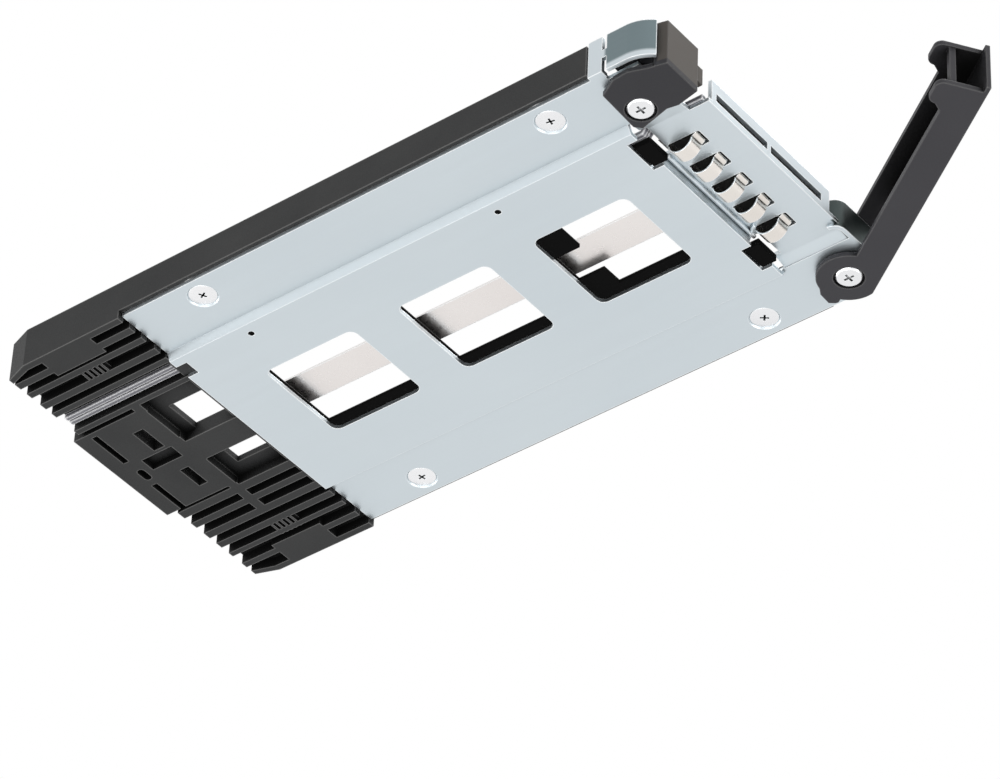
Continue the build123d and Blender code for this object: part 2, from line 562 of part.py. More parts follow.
with BuildPart() as tray_frame:
    # Floor over the plate, pressed to the same section
    with BuildSketch(Plane.XZ.offset(-DRIVE_REAR_Y - GAP)):
        with BuildLine():
            Polyline(*pan_section(PAN_TOP_Z, PLATE_TOP_Z, 0.5, FRAME_FLOOR), close=True)
        make_face()
    extrude(amount=DRIVE_REAR_Y + GAP - RAIL_FRONT_Y)
    box(-SLOPE_OUTER_X, SLOPE_OUTER_X, RAIL_FRONT_Y - 1, PAN_FRONT_Y + 2.5, LOW, HIGH, mode=Mode.SUBTRACT)
    # Side rails with their noses, and the ledge that joins each to the floor
    for side in (-1, 1):
        with BuildSketch(Plane.XY.offset(PLATE_TOP_Z)):
            with BuildLine():
                Polyline(*side_wall(side), close=True)
            make_face()
        extrude(amount=RAIL_HEIGHT)
        box(side * (PLATE_HALF_WIDTH - LEDGE_WIDTH), side * (RAIL_INNER_X + RAIL_WALL / 4), RAIL_FRONT_Y,
            DRIVE_REAR_Y, PLATE_TOP_Z, PLATE_TOP_Z + FRAME_FLOOR)
    # Rear deck behind the drive
    deck_x = RAIL_OUTER_X - RAIL_WALL / 4
    with BuildSketch(Plane.XY.offset(DECK_SKIN_Z)):
        with BuildLine():
            edge = [(deck_x, DRIVE_REAR_Y + GAP), (deck_x, TAPER_Y), (deck_x - DECK_TAPER_X, REAR_END_Y)]
            tongue = [(TONGUE_X[1], REAR_END_Y), (TONGUE_X[1] - 0.4, TONGUE_Y),
                      (TONGUE_X[0] + 0.4, TONGUE_Y), (TONGUE_X[0], REAR_END_Y)]
            Polyline(*edge, *tongue, *[(-x, y) for x, y in reversed(edge)], close=True)
        make_face()
    extrude(amount=DECK_SKIN)
    # Wall under the deck where the plate ends, and the outer walls of the noses
    wall_half = SLOPE_INNER_X - 1
    box(-wall_half, wall_half, DRIVE_REAR_Y + 0.2, REAR_WALL_Y + 0.9, PAN_TOP_Z, DECK_SKIN_Z)
    for side in (-1, 1):
        with BuildSketch(Plane.XY.offset(DECK_LOW_Z)):
            with BuildLine():
                outer, inner = RAIL_OUTER_X, RAIL_OUTER_X - NOSE_WALL
                wall = [(outer, REAR_WALL_Y), (outer, TAPER_Y), (outer - DECK_TAPER_X, REAR_END_Y),
                        (outer - DECK_TAPER_X - 1.2, REAR_END_Y), (inner, TAPER_Y), (inner, REAR_WALL_Y)]
                Polyline(*[(side * x, y) for x, y in wall], close=True)
            make_face()
        extrude(amount=DECK_RIB_HEIGHT)
    # Ribs and cross bars under the deck
    for x0, x1 in rib_spans():
        box(x0, x1, REAR_WALL_Y, REAR_END_Y, DECK_LOW_Z, DECK_SKIN_Z)
    box(-16.8, 21.2, REAR_END_Y - 14.7, REAR_END_Y - 12.7, DECK_LOW_Z, DECK_SKIN_Z)
    for side, wide in ((-1, 5.7), (1, 6.5)):
        box(side * (RAIL_OUTER_X - wide), side * (RAIL_OUTER_X - 1), REAR_END_Y - 19.5, REAR_END_Y - 8.0,
            DECK_LOW_Z, DECK_SKIN_Z)
    # Centre panel with its frame
    box(TONGUE_X[0] - 0.6, TONGUE_X[1] - 1.0, REAR_END_Y - 13.7, TONGUE_Y - 0.2, DECK_LOW_Z,
        DECK_SKIN_Z)
    box(-3.0, 3.0, REAR_WALL_Y, REAR_END_Y - 12.7, DECK_LOW_Z, DECK_SKIN_Z)
    for x0, x1, y0, y1 in PANEL_RECESSES:
        box(x0, x1, REAR_END_Y - y0, REAR_END_Y - y1, LOW, DECK_SKIN_Z - PANEL_SKIN, mode=Mode.SUBTRACT)
    with BuildSketch(Plane.XY.offset(DECK_LOW_Z)):
        with Locations((0, REAR_END_Y - PANEL_HOLE_INSET)):
            SlotOverall(PANEL_HOLE_LENGTH, PANEL_HOLE_WIDTH)
    extrude(amount=DECK_RIB_HEIGHT, mode=Mode.SUBTRACT)
    # Ribbed friction pads
    grip_y = REAR_END_Y - GRIP_REAR_INSET - GRIP_LENGTH / 2
    for x0 in (GRIP_LEFT_INSET - RAIL_OUTER_X, RAIL_OUTER_X - GRIP_RIGHT_INSET):
        box(x0, x0 + GRIP_WIDTH, grip_y - GRIP_LENGTH / 2, grip_y + GRIP_LENGTH / 2, DECK_LOW_Z + 0.6,
            DECK_SKIN_Z)
        for i in range(GRIP_RIB_COUNT):
            y = grip_y + GRIP_RIB_PITCH * (i - (GRIP_RIB_COUNT - 1) / 2)
            box(x0 + GAP, x0 + GRIP_WIDTH - GAP, y - GRIP_RIB / 2, y + GRIP_RIB / 2, DECK_LOW_Z,
                DECK_LOW_Z + 0.7)
    # Windows through the deck
    for x0, x1, y0, y1 in DECK_WINDOWS:
        box(x0, x1, REAR_END_Y - y0, REAR_END_Y - y1, LOW, HIGH, mode=Mode.SUBTRACT)
    # Windows of the floor; the front one is partly covered
    for i, y in enumerate(window_places()):
        cover = FRONT_WINDOW_COVER if i == WINDOW_COUNT - 1 else 0
        box(FLOOR_WINDOW_LEFT_X, FLOOR_WINDOW_RIGHT_X, y - WINDOW_SIZE / 2, y + WINDOW_SIZE / 2 - cover,
            LOW, HIGH, mode=Mode.SUBTRACT)
        box(-STRIP_HALF, STRIP_HALF, y - WINDOW_SIZE / 2, y + WINDOW_SIZE / 2, LOW, HIGH, mode=Mode.SUBTRACT)
    # Seats of the steel strip beside and between the windows
    for y0, y1 in seat_spans():
        box(-STRIP_HALF - SEAT_OVERHANG, STRIP_HALF + SEAT_OVERHANG, y0, y1, PAN_TOP_Z + 0.2, -STRIP_THICK)
    # Guide ribs beside the light pipes
    for x0 in (PIPE_X[0] - PIPE_WIDTH / 2 - 0.2 - PIPE_GUIDE, PIPE_X[1] + PIPE_WIDTH / 2 + 0.2):
        box(x0, x0 + PIPE_GUIDE, PAN_FRONT_Y + 4.5, DRIVE_REAR_Y, FLOOR_TOP_Z - 0.2, FLOOR_TOP_Z + 0.9)
    box(PIPE_X[0] - 0.6, PIPE_X[1] + 0.6, DRIVE_REAR_Y, REAR_WALL_Y + 2, FLOOR_TOP_Z, DECK_SKIN_Z,
        mode=Mode.SUBTRACT)
    # Snap hooks that drop into the plate
    for side in (-1, 1):
        span = hook_span(side, HOOK_SIDE_GAP)
        box(*span, PAN_FRONT_Y + 1.7, PAN_FRONT_Y + 3.0, PAN_TOP_Z, FLOOR_TOP_Z)
        box(*span, PAN_FRONT_Y - 1.2, PAN_FRONT_Y + 1.7, PAN_Z + 0.2, FLOOR_TOP_Z)
    # Clearance round the dimples, and pins in the plate's pin holes
    for x, y in screw_places():
        disc(x, y, SCREW_HEAD_R + SHEET + 0.65, PLATE_TOP_Z - 0.1, 0, mode=Mode.SUBTRACT)
    for y in PIN_Y:
        disc(PIN_X, y, PIN_R, PAN_Z + 0.15, PAN_TOP_Z + 0.2)


def light_pipe(x):
    """Clear strip that runs on the floor, climbs onto the band and ends at the front wall."""
    low, high, wide = FLOOR_TOP_Z, BAND_TOP_Z + RUN_CLEARANCE, PIPE_WIDTH
    climb = PAN_FRONT_Y - 1.5
    front = FRONT_WALL_Y + SHEET + GAP
    with BuildPart() as pipe:
        with BuildSketch(Plane.YZ.offset(x - wide / 2)):
            with BuildLine():
                Polyline((REAR_END_Y, low), (climb + STEP_RUN, low), (climb, high), (front, high),
                         (front, high + wide), (climb + 0.4, high + wide),
                         (climb + STEP_RUN + 0.4, low + wide), (REAR_END_Y, low + wide), close=True)
            make_face()
        extrude(amount=wide)
    return pipe.part


with BuildPart() as centre_strip:
    box(-STRIP_HALF, STRIP_HALF, PAN_FRONT_Y + STRIP_SETBACK, DRIVE_REAR_Y - GAP, -STRIP_THICK, 0)


with BuildPart() as emi_strip:
    # Flat sheet on the band, slotted like the band
    strip_half = FINGER_PITCH * FINGER_COUNT / 2 - 0.15
    box(-strip_half, strip_half, FRONT_WALL_Y + SHEET + 0.2, PAN_FRONT_Y - 0.9, BAND_TOP_Z,
        BAND_TOP_Z + STRIP_SHEET)
    rear = FINGER_SLOT_Y + FINGER_SLOT_LENGTH / 2
    slot_half = FINGER_SLOT_WIDTH / 2
    for x in finger_places():
        box(x - slot_half, x + slot_half, rear - FINGER_SLOT_LENGTH, rear, LOW, HIGH, mode=Mode.SUBTRACT)
    # Fingers that bulge down through the slots
    for x in finger_places():
        top = BAND_TOP_Z + STRIP_SHEET / 2
        with BuildSketch(Plane.YZ.offset(x - FINGER_WIDTH / 2)):
            with BuildLine():
                a = Line((rear + 0.2, top), (rear - 0.3, top))
                b = ThreePointArc(a @ 1, (rear - 2.6, BAND_Z - FINGER_BULGE), (rear - 5.0, BAND_Z))
                RadiusArc(b @ 1, (rear - 5.8, BAND_Z + 0.7), 1.2)
            trace(line_width=STRIP_SHEET)
        extrude(amount=FINGER_WIDTH)


with BuildPart() as drive_screws:
    seat_z = MARGIN_Z + 0.02
    for x, y in screw_places():
        with Locations((x, y, seat_z + SCREW_CONE / 2)):
            Cone(SCREW_HEAD_R, SCREW_R, SCREW_CONE)
        disc(x, y, SCREW_R, seat_z + SCREW_CONE, SCREW_ENGAGE)
        cross(x, y, seat_z)


# The lever coil's end leg points out of the open lever's face, inside the low ear arc
lever_coil = torsion_spring(PIVOT_X, PIVOT_Y, SPRING_TURNS + (180 + LEVER_OPEN_ANGLE) / 360,
                            LEVER_SPRING_START, LEVER_SPRING_END)
latch_coil = torsion_spring(LATCH_X, LATCH_Y, SPRING_TURNS + 0.5, LATCH_SPRING_START,
                            LATCH_FRONT - LATCH_WALL - GAP)

os.makedirs("parts", exist_ok=True)
save(base_plate.part, "base_plate")
save(tray_frame.part, "tray_frame")
save(lever.part, "lever")
save(latch_button.part, "latch_button")
save(drive_screws.part, "drive_screws")
save(pivot_post(PIVOT_X, PIVOT_Y), "lever_pivot_post")
save(pivot_post(LATCH_X, LATCH_Y), "latch_pivot_post")
save(pivot_screw(PIVOT_X, PIVOT_Y), "lever_pivot_screw")
save(pivot_screw(LATCH_X, LATCH_Y), "latch_pivot_screw")
save(lever_coil, "lever_spring")
save(latch_coil, "latch_spring")
save(light_pipe(PIPE_X[0]), "light_pipe_activity")
save(light_pipe(PIPE_X[1]), "light_pipe_status")
save(centre_strip.part, "centre_strip")
save(emi_strip.part, "emi_strip")
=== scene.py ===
"""Studio scene of a slim hot swap drive caddy, seen from below and behind.

Lengths are in metres and the axes are the part's own: the drive lies on +Z, the lever and
latch are at -Y, and the origin is the middle of the four drive screws on the drive's seat.
"""

import logging
import math
from dataclasses import dataclass
from enum import Enum

import bpy
import bmesh
from mathutils import Matrix, Vector


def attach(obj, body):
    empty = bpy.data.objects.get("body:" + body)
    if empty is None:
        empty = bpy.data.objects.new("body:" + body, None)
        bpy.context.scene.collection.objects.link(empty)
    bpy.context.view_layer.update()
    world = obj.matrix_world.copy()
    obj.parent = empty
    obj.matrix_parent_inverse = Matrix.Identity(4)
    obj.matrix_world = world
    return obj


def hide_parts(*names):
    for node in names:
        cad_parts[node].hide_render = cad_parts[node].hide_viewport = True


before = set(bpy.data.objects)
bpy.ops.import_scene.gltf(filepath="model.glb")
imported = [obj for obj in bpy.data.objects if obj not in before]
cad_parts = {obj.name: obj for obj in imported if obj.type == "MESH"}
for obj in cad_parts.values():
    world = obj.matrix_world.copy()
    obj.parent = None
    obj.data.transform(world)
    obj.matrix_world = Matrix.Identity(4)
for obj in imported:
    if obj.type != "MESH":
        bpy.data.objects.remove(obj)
LOG = logging.getLogger("caddy")
MM = 0.001
WELD_REACH = 0.000001
EDGE_SEGMENTS = 2
Point = tuple[float, float, float]
Colour = tuple[float, float, float]
Socket = bpy.types.NodeSocket


class Grain(Enum):
    """How the fine texture of a finish runs."""

    EVEN = (1.0, 1.0, 1.0)
    ALONG = (1.0, 0.04, 1.0)


@dataclass(frozen=True)
class Region:
    """A box on the part where a finish has another colour.

    Attributes:
        low: The box's lowest corner.
        high: Its highest corner.
        colour: The colour inside it.
        fade: Width of the soft edge round it in metres.
    """

    low: Point
    high: Point
    colour: Colour
    fade: float = 0.0003


class Tree:
    """Thin helper round one node tree."""

    def __init__(self, tree: bpy.types.NodeTree, output: str) -> None:
        """Empty a tree and give it its output node.

        Args:
            tree: The tree of a material or of the world.
            output: The output node's type name.
        """
        self.tree = tree
        self.tree.nodes.clear()
        self.output = self.add(output)

    def add(self, kind: str, **values: object) -> bpy.types.Node:
        """Add a node and set its plain properties.

        Args:
            kind: The node's type name.
            **values: Properties to set on it.

        Returns:
            The new node.
        """
        node = self.tree.nodes.new(kind)
        for key, value in values.items():
            setattr(node, key, value)
        return node

    def join(self, source: Socket, target: Socket) -> None:
        """Link one socket to another."""
        self.tree.links.new(source, target)

    def combine(self, operation: str, first: Socket, second: Socket) -> Socket:
        """Combine two values.

        Args:
            operation: The math node's operation.
            first: First value.
            second: Second value.

        Returns:
            The result's socket.
        """
        node = self.add("ShaderNodeMath", operation=operation)
        self.join(first, node.inputs[0])
        self.join(second, node.inputs[1])
        return node.outputs["Value"]

    def blend(self, factor: Socket, first: Socket, second: Socket) -> Socket:
        """Mix two shaders.

        Args:
            factor: 0 for the first shader, 1 for the second.
            first: First shader.
            second: Second shader.

        Returns:
            The mixed shader's socket.
        """
        node = self.add("ShaderNodeMixShader")
        self.join(factor, node.inputs["Fac"])
        self.join(first, node.inputs[1])
        self.join(second, node.inputs[2])
        return node.outputs["Shader"]


class Nodes(Tree):
    """One material's node tree, with the steps that the finishes share.

    Attributes:
        NOISE_MIDDLE: The part of a noise's range that is used.
        SHARP: Openness inside the solid, at a flat face and at a sharp edge.
        OPEN: Openness below which painted shade begins in a recess.
        PAINTED_RECESS_SHADE: Colour of the painted shade in a wholly closed recess.
        NEIGHBOUR_SAMPLES: Rays for each test of openness.
        BEVEL_SAMPLES: Rays for each rounded edge.
    """

    NOISE_MIDDLE: tuple[float, float] = (0.3, 0.7)
    SHARP: tuple[float, float] = (0.92, 0.55)
    OPEN: float = 0.88
    PAINTED_RECESS_SHADE: Colour = (0.006, 0.006, 0.006)
    NEIGHBOUR_SAMPLES: int = 6
    BEVEL_SAMPLES: int = 4

    def __init__(self, name: str) -> None:
        """Start a material with an empty tree.

        Args:
            name: The material's name.
        """
        self.material = bpy.data.materials.new(name)
        self.material.use_nodes = True
        super().__init__(self.material.node_tree, "ShaderNodeOutputMaterial")

    def noise(self, scale: float, detail: float = 4.0, grain: Grain = Grain.EVEN) -> Socket:
        """Object-space noise.

        Args:
            scale: Cells for each metre.
            detail: Octaves.
            grain: Direction in which the cells are stretched.

        Returns:
            The noise value's socket.
        """
        place = self.add("ShaderNodeTexCoord")
        mapping = self.add("ShaderNodeMapping")
        mapping.inputs["Scale"].default_value = grain.value
        texture = self.add("ShaderNodeTexNoise")
        texture.inputs["Scale"].default_value = scale
        texture.inputs["Detail"].default_value = detail
        self.join(place.outputs["Object"], mapping.inputs["Vector"])
        self.join(mapping.outputs["Vector"], texture.inputs["Vector"])
        return texture.outputs["Fac"]

    def ramp(self, value: Socket, start: float, end: float,
             low: float = 0.0, high: float = 1.0) -> Socket:
        """Map one range of a value to another, and hold it at both ends.

        Args:
            value: The value.
            start: Where the result is low.
            end: Where the result is high.
            low: The low result.
            high: The high result.

        Returns:
            The mapped value's socket.
        """
        node = self.add("ShaderNodeMapRange")
        node.inputs["From Min"].default_value = start
        node.inputs["From Max"].default_value = end
        node.inputs["To Min"].default_value = low
        node.inputs["To Max"].default_value = high
        self.join(value, node.inputs["Value"])
        return node.outputs["Result"]

    def spread(self, value: Socket, low: float, high: float) -> Socket:
        """Map the middle of a noise value to a range."""
        return self.ramp(value, *self.NOISE_MIDDLE, low, high)

    def tint(self, factor: Socket, first: Colour, second: Colour) -> Socket:
        """Blend two colours.

        Args:
            factor: 0 for the first colour, 1 for the second.
            first: First colour.
            second: Second colour.

        Returns:
            The blended colour's socket.
        """
        node = self.add("ShaderNodeMix", data_type="RGBA")
        node.inputs[6].default_value = (*first, 1.0)
        node.inputs[7].default_value = (*second, 1.0)
        self.join(factor, node.inputs[0])
        return node.outputs[2]

    def cover(self, factor: Socket, under: Socket, over: Colour) -> Socket:
        """Lay a plain colour over a coloured surface.

        Args:
            factor: 0 leaves what is under, 1 shows the plain colour.
            under: The colour below.
            over: The plain colour.

        Returns:
            The resulting colour's socket.
        """
        node = self.add("ShaderNodeMix", data_type="RGBA")
        node.inputs[7].default_value = (*over, 1.0)
        self.join(factor, node.inputs[0])
        self.join(under, node.inputs[6])
        return node.outputs[2]

    def relief(self, height: Socket, depth: float, edge_radius: float) -> Socket:
        """Surface relief over slightly rounded edges.

        Args:
            height: The height value.
            depth: Depth of the relief in metres.
            edge_radius: Radius of the rounded look of edges in metres.

        Returns:
            The normal's socket.
        """
        rounded = self.add("ShaderNodeBevel", samples=self.BEVEL_SAMPLES)
        rounded.inputs["Radius"].default_value = edge_radius
        bump = self.add("ShaderNodeBump")
        bump.inputs["Strength"].default_value = 1.0
        bump.inputs["Distance"].default_value = depth
        self.join(height, bump.inputs["Height"])
        self.join(rounded.outputs["Normal"], bump.inputs["Normal"])
        return bump.outputs["Normal"]

    def openness(self, reach: float, inside: bool = False) -> Socket:
        """How open a place is to its surroundings, from 0 in a deep recess to 1.

        Args:
            reach: Distance in metres over which neighbours count.
            inside: Look into the solid instead, where the far side of an edge is near.

        Returns:
            The value's socket.
        """
        node = self.add("ShaderNodeAmbientOcclusion", samples=self.NEIGHBOUR_SAMPLES,
                        only_local=True, inside=inside)
        node.inputs["Distance"].default_value = reach
        return node.outputs["AO"]

    def sharpness(self, reach: float) -> Socket:
        """1 along outer edges and 0 on flat faces and inner corners; the mask of the painted
        edge highlight.

        Args:
            reach: Width of the marked edges in metres.

        Returns:
            The value's socket.
        """
        return self.ramp(self.openness(reach, inside=True), *self.SHARP)

    def within(self, region: Region) -> Socket:
        """1 inside a region's box on the part, fading to 0 outside it.

        Args:
            region: The region.

        Returns:
            The value's socket.
        """
        corners = tuple(zip(region.low, region.high))
        place = self.add("ShaderNodeTexCoord")
        offset = self.add("ShaderNodeVectorMath", operation="SUBTRACT")
        offset.inputs[1].default_value = tuple((a + b) / 2 for a, b in corners)
        side = self.add("ShaderNodeVectorMath", operation="ABSOLUTE")
        beyond = self.add("ShaderNodeVectorMath", operation="SUBTRACT")
        beyond.inputs[1].default_value = tuple((b - a) / 2 for a, b in corners)
        parts = self.add("ShaderNodeSeparateXYZ")
        self.join(place.outputs["Object"], offset.inputs[0])
        self.join(offset.outputs["Vector"], side.inputs[0])
        self.join(side.outputs["Vector"], beyond.inputs[0])
        self.join(beyond.outputs["Vector"], parts.inputs["Vector"])
        flat = self.combine("MAXIMUM", parts.outputs["X"], parts.outputs["Y"])
        whole = self.combine("MAXIMUM", flat, parts.outputs["Z"])
        return self.ramp(whole, region.fade, 0.0)

    def patch(self, tone: Socket, regions: tuple[Region, ...]) -> Socket:
        """Lay the colours of regions over a surface.

        Args:
            tone: The surface's colour.
            regions: The regions.

        Returns:
            The resulting colour's socket.
        """
        for region in regions:
            tone = self.cover(self.within(region), tone, region.colour)
        return tone

    def paint_recess_shade(self, shader: bpy.types.Node, reach: float, shut: float,
               painted_shadow_boxes: tuple[Region, ...] = ()) -> None:
        """Join a shader to the output, with painted shade mixed into its recesses.

        Args:
            shader: The surface's shader.
            reach: Distance in metres over which neighbours close a recess for the painted
                shade.
            shut: Openness at which the painted shade is full.
            painted_shadow_boxes: Boxes under other parts that get the same painted shadow as a
                closed recess.
        """
        # Painted shade: recesses and the given boxes blend towards a near-black diffuse.
        shade = self.ramp(self.openness(reach), self.OPEN, shut)
        for region in painted_shadow_boxes:
            shade = self.combine("MAXIMUM", shade, self.within(region))
        dark = self.add("ShaderNodeBsdfDiffuse")
        dark.inputs["Color"].default_value = (*self.PAINTED_RECESS_SHADE, 1.0)
        both = self.blend(shade, shader.outputs["BSDF"], dark.outputs["BSDF"])
        self.join(both, self.output.inputs["Surface"])


@dataclass(frozen=True)
class MetalFinish:
    """Plated or bright sheet metal with a faint rolled grain.

    Attributes:
        name: The material's name.
        colour: First colour of the clouds.
        shade: Second colour of the clouds.
        roughness: Lowest and highest roughness over the grain.
        grain: How the grain runs.
        grain_scale: Cells of the grain for each metre.
        cloud_scale: Cells of the clouds for each metre.
        depth: Depth of the grain in metres.
        edge_radius: Radius of the rounded look of edges in metres.
        edge_highlight_width: Width of the painted highlight along outer edges in metres.
        edge_highlight_tone: Colour of the painted edge highlight.
        painted_shade_reach: Distance in metres over which neighbours close a recess for the
            painted shade.
        painted_shade_shut: Openness at which the painted shade in a recess is full.
        regions: Boxes with another colour laid over the finish; on the plate these are painted
            shade and dark reflection on the ears.
    """

    name: str
    colour: Colour
    shade: Colour
    roughness: tuple[float, float]
    grain: Grain = Grain.ALONG
    grain_scale: float = 900.0
    cloud_scale: float = 35.0
    depth: float = 0.000004
    edge_radius: float = 0.00012
    edge_highlight_width: float = 0.00022
    edge_highlight_tone: Colour = (0.90, 0.92, 0.93)
    painted_shade_reach: float = 0.0012
    painted_shade_shut: float = 0.05
    regions: tuple[Region, ...] = ()

    def build(self) -> bpy.types.Material:
        """Return the material of this finish."""
        nodes = Nodes(self.name)
        shader = nodes.add("ShaderNodeBsdfPrincipled")
        shader.inputs["Metallic"].default_value = 1.0
        cloud = nodes.noise(self.cloud_scale, detail=5.0)
        grain = nodes.noise(self.grain_scale, detail=3.0, grain=self.grain)
        tone = nodes.tint(nodes.spread(cloud, 0.0, 1.0), self.colour, self.shade)
        tone = nodes.patch(tone, self.regions)
        # Painted highlight along the outer edges.
        tone = nodes.cover(nodes.sharpness(self.edge_highlight_width), tone, self.edge_highlight_tone)
        nodes.join(tone, shader.inputs["Base Color"])
        nodes.join(nodes.spread(grain, *self.roughness), shader.inputs["Roughness"])
        nodes.join(nodes.relief(grain, self.depth, self.edge_radius), shader.inputs["Normal"])
        nodes.paint_recess_shade(shader, self.painted_shade_reach, self.painted_shade_shut)
        return nodes.material


@dataclass(frozen=True)
class MouldedFinish:
    """Dark moulded plastic with a fine spark-eroded texture.

    Attributes:
        name: The material's name.
        colour: First colour of the clouds.
        worn: Second colour of the clouds.
        roughness: Lowest and highest roughness over the texture.
        cloud_scale: Cells of the clouds for each metre.
        texture_scale: Pits of the texture for each metre.
        depth: Depth of the texture in metres.
        gloss: Strength of its reflections.
        edge_radius: Radius of the rounded look of edges in metres.
        edge_highlight_width: Width of the painted highlight along outer edges in metres.
        edge_highlight_tone: Colour of the painted edge highlight.
        painted_shade_reach: Distance in metres over which neighbours close a recess for the
            painted shade.
        painted_shade_shut: Openness at which the painted shade in a recess is full.
        regions: Boxes with a colour of their own.
        painted_shadow_boxes: Boxes under other parts that get the same painted shadow as a
            closed recess.
    """

    name: str
    colour: Colour
    worn: Colour
    roughness: tuple[float, float]
    cloud_scale: float = 60.0
    texture_scale: float = 4200.0
    depth: float = 0.000012
    gloss: float = 0.17
    edge_radius: float = 0.00018
    edge_highlight_width: float = 0.00025
    edge_highlight_tone: Colour = (0.15, 0.148, 0.146)
    painted_shade_reach: float = 0.0055
    painted_shade_shut: float = 0.48
    regions: tuple[Region, ...] = ()
    painted_shadow_boxes: tuple[Region, ...] = ()

    def build(self) -> bpy.types.Material:
        """Return the material of this finish."""
        nodes = Nodes(self.name)
        shader = nodes.add("ShaderNodeBsdfPrincipled")
        shader.inputs["Specular IOR Level"].default_value = self.gloss
        cloud = nodes.noise(self.cloud_scale)
        pits = nodes.noise(self.texture_scale, detail=2.0)
        tone = nodes.tint(nodes.spread(cloud, 0.0, 1.0), self.colour, self.worn)
        tone = nodes.patch(tone, self.regions)
        # Painted highlight along the outer edges.
        tone = nodes.cover(nodes.sharpness(self.edge_highlight_width), tone, self.edge_highlight_tone)
        nodes.join(tone, shader.inputs["Base Color"])
        nodes.join(nodes.spread(pits, *self.roughness), shader.inputs["Roughness"])
        nodes.join(nodes.relief(pits, self.depth, self.edge_radius), shader.inputs["Normal"])
        nodes.paint_recess_shade(shader, self.painted_shade_reach, self.painted_shade_shut, self.painted_shadow_boxes)
        return nodes.material


@dataclass(frozen=True)
class ClearFinish:
    """Clear moulded light pipe with a painted highlight along its edges and a faint haze.

    Attributes:
        name: The material's name.
        colour: Colour of its body.
        roughness: Middle roughness.
        transmission: Share of the light that passes through.
        bending: How strongly it bends light.
        haze_scale: Cells of the haze for each metre.
        haze_gain: How much lighter the haze is.
        haze_roughness: Lowest and highest share of the roughness.
        edge_highlight_width: Width of the painted highlight along outer edges in metres.
        edge_highlight_tone: Colour of the painted edge highlight.
    """

    name: str
    colour: Colour
    roughness: float
    transmission: float
    bending: float = 1.49
    haze_scale: float = 400.0
    haze_gain: float = 1.06
    haze_roughness: tuple[float, float] = (0.6, 1.4)
    edge_highlight_width: float = 0.00040
    edge_highlight_tone: Colour = (0.98, 0.98, 0.99)

    def build(self) -> bpy.types.Material:
        """Return the material of this finish."""
        nodes = Nodes(self.name)
        shader = nodes.add("ShaderNodeBsdfPrincipled")
        shader.inputs["Transmission Weight"].default_value = self.transmission
        shader.inputs["IOR"].default_value = self.bending
        haze = nodes.noise(self.haze_scale, detail=3.0, grain=Grain.ALONG)
        whiter = tuple(min(1.0, part * self.haze_gain) for part in self.colour)
        tone = nodes.tint(nodes.spread(haze, 0.0, 1.0), self.colour, whiter)
        # Painted highlight along the outer edges.
        tone = nodes.cover(nodes.sharpness(self.edge_highlight_width), tone, self.edge_highlight_tone)
        low, high = (self.roughness * share for share in self.haze_roughness)
        nodes.join(tone, shader.inputs["Base Color"])
        nodes.join(nodes.spread(haze, low, high), shader.inputs["Roughness"])
        nodes.join(shader.outputs["BSDF"], nodes.output.inputs["Surface"])
        return nodes.material


Finish = MetalFinish | MouldedFinish | ClearFinish

# Painted shade and dark reflection on the plate's bent front ears, laid over its colour.
EAR_PAINTED_SHADE: Colour = (0.060, 0.075, 0.073)
LEFT_EAR_SHADE = Region(
    (-0.0370, -0.0670, -0.0002), (-0.0290, -0.0536, 0.0080), (0.165, 0.212, 0.226), fade=0.0006)
RIGHT_EAR_SHADE = Region(
    (0.0172, -0.0640, -0.0014), (0.0360, -0.0622, 0.0070), EAR_PAINTED_SHADE)
RIGHT_EAR_CURL_SHADE = Region(
    (0.0172, -0.0640, -0.0008), (0.0215, -0.0600, 0.0070), EAR_PAINTED_SHADE, fade=0.0001)
# Painted shadow on the frame's underside where the plate hangs over it.
UNDER_PLATE_SHADOW = Region(
    (-0.0325, -0.0520, -0.0050), (0.0325, 0.0512, -0.0018), Nodes.PAINTED_RECESS_SHADE, fade=0.00015)
LATCH_FACE = Region(
    (-0.0360, -0.0680, -0.0020), (-0.0170, -0.0622, 0.0080), (0.070, 0.062, 0.055))

ZINC_PLATE = MetalFinish(
    "zinc_plated_sheet", (0.590, 0.643, 0.672), (0.565, 0.620, 0.652), (0.38, 0.46),
    cloud_scale=22.0, regions=(LEFT_EAR_SHADE, RIGHT_EAR_SHADE, RIGHT_EAR_CURL_SHADE))
BRIGHT_STRIP = MetalFinish(
    "bright_strip", (0.80, 0.765, 0.745), (0.76, 0.72, 0.70), (0.26, 0.34),
    Grain.EVEN, grain_scale=1400.0)
FINGER_STEEL = MetalFinish(
    "finger_steel", (0.80, 0.765, 0.72), (0.70, 0.655, 0.61), (0.18, 0.26),
    Grain.EVEN, grain_scale=1400.0)
SCREW_STEEL = MetalFinish(
    "screw_steel", (0.86, 0.86, 0.87), (0.76, 0.765, 0.78), (0.24, 0.32),
    Grain.EVEN, grain_scale=2500.0, painted_shade_reach=0.0020)
SPRING_STEEL = MetalFinish(
    "spring_steel", (0.52, 0.52, 0.53), (0.42, 0.42, 0.43), (0.25, 0.35),
    Grain.EVEN, grain_scale=2500.0)
FRAME_PLASTIC = MouldedFinish(
    "frame_plastic", (0.021, 0.0216, 0.0222), (0.032, 0.0325, 0.0325), (0.44, 0.60),
    painted_shadow_boxes=(UNDER_PLATE_SHADOW,))
# Deep painted shade inside the lever's channel.
LEVER_PLASTIC = MouldedFinish(
    "lever_plastic", (0.035, 0.0343, 0.0385), (0.040, 0.0392, 0.0435), (0.42, 0.54),
    gloss=0.16, painted_shade_reach=0.0100, painted_shade_shut=0.60)
LATCH_PLASTIC = MouldedFinish(
    "latch_plastic", (0.026, 0.0257, 0.0290), (0.031, 0.0307, 0.0340), (0.42, 0.54),
    regions=(LATCH_FACE,))
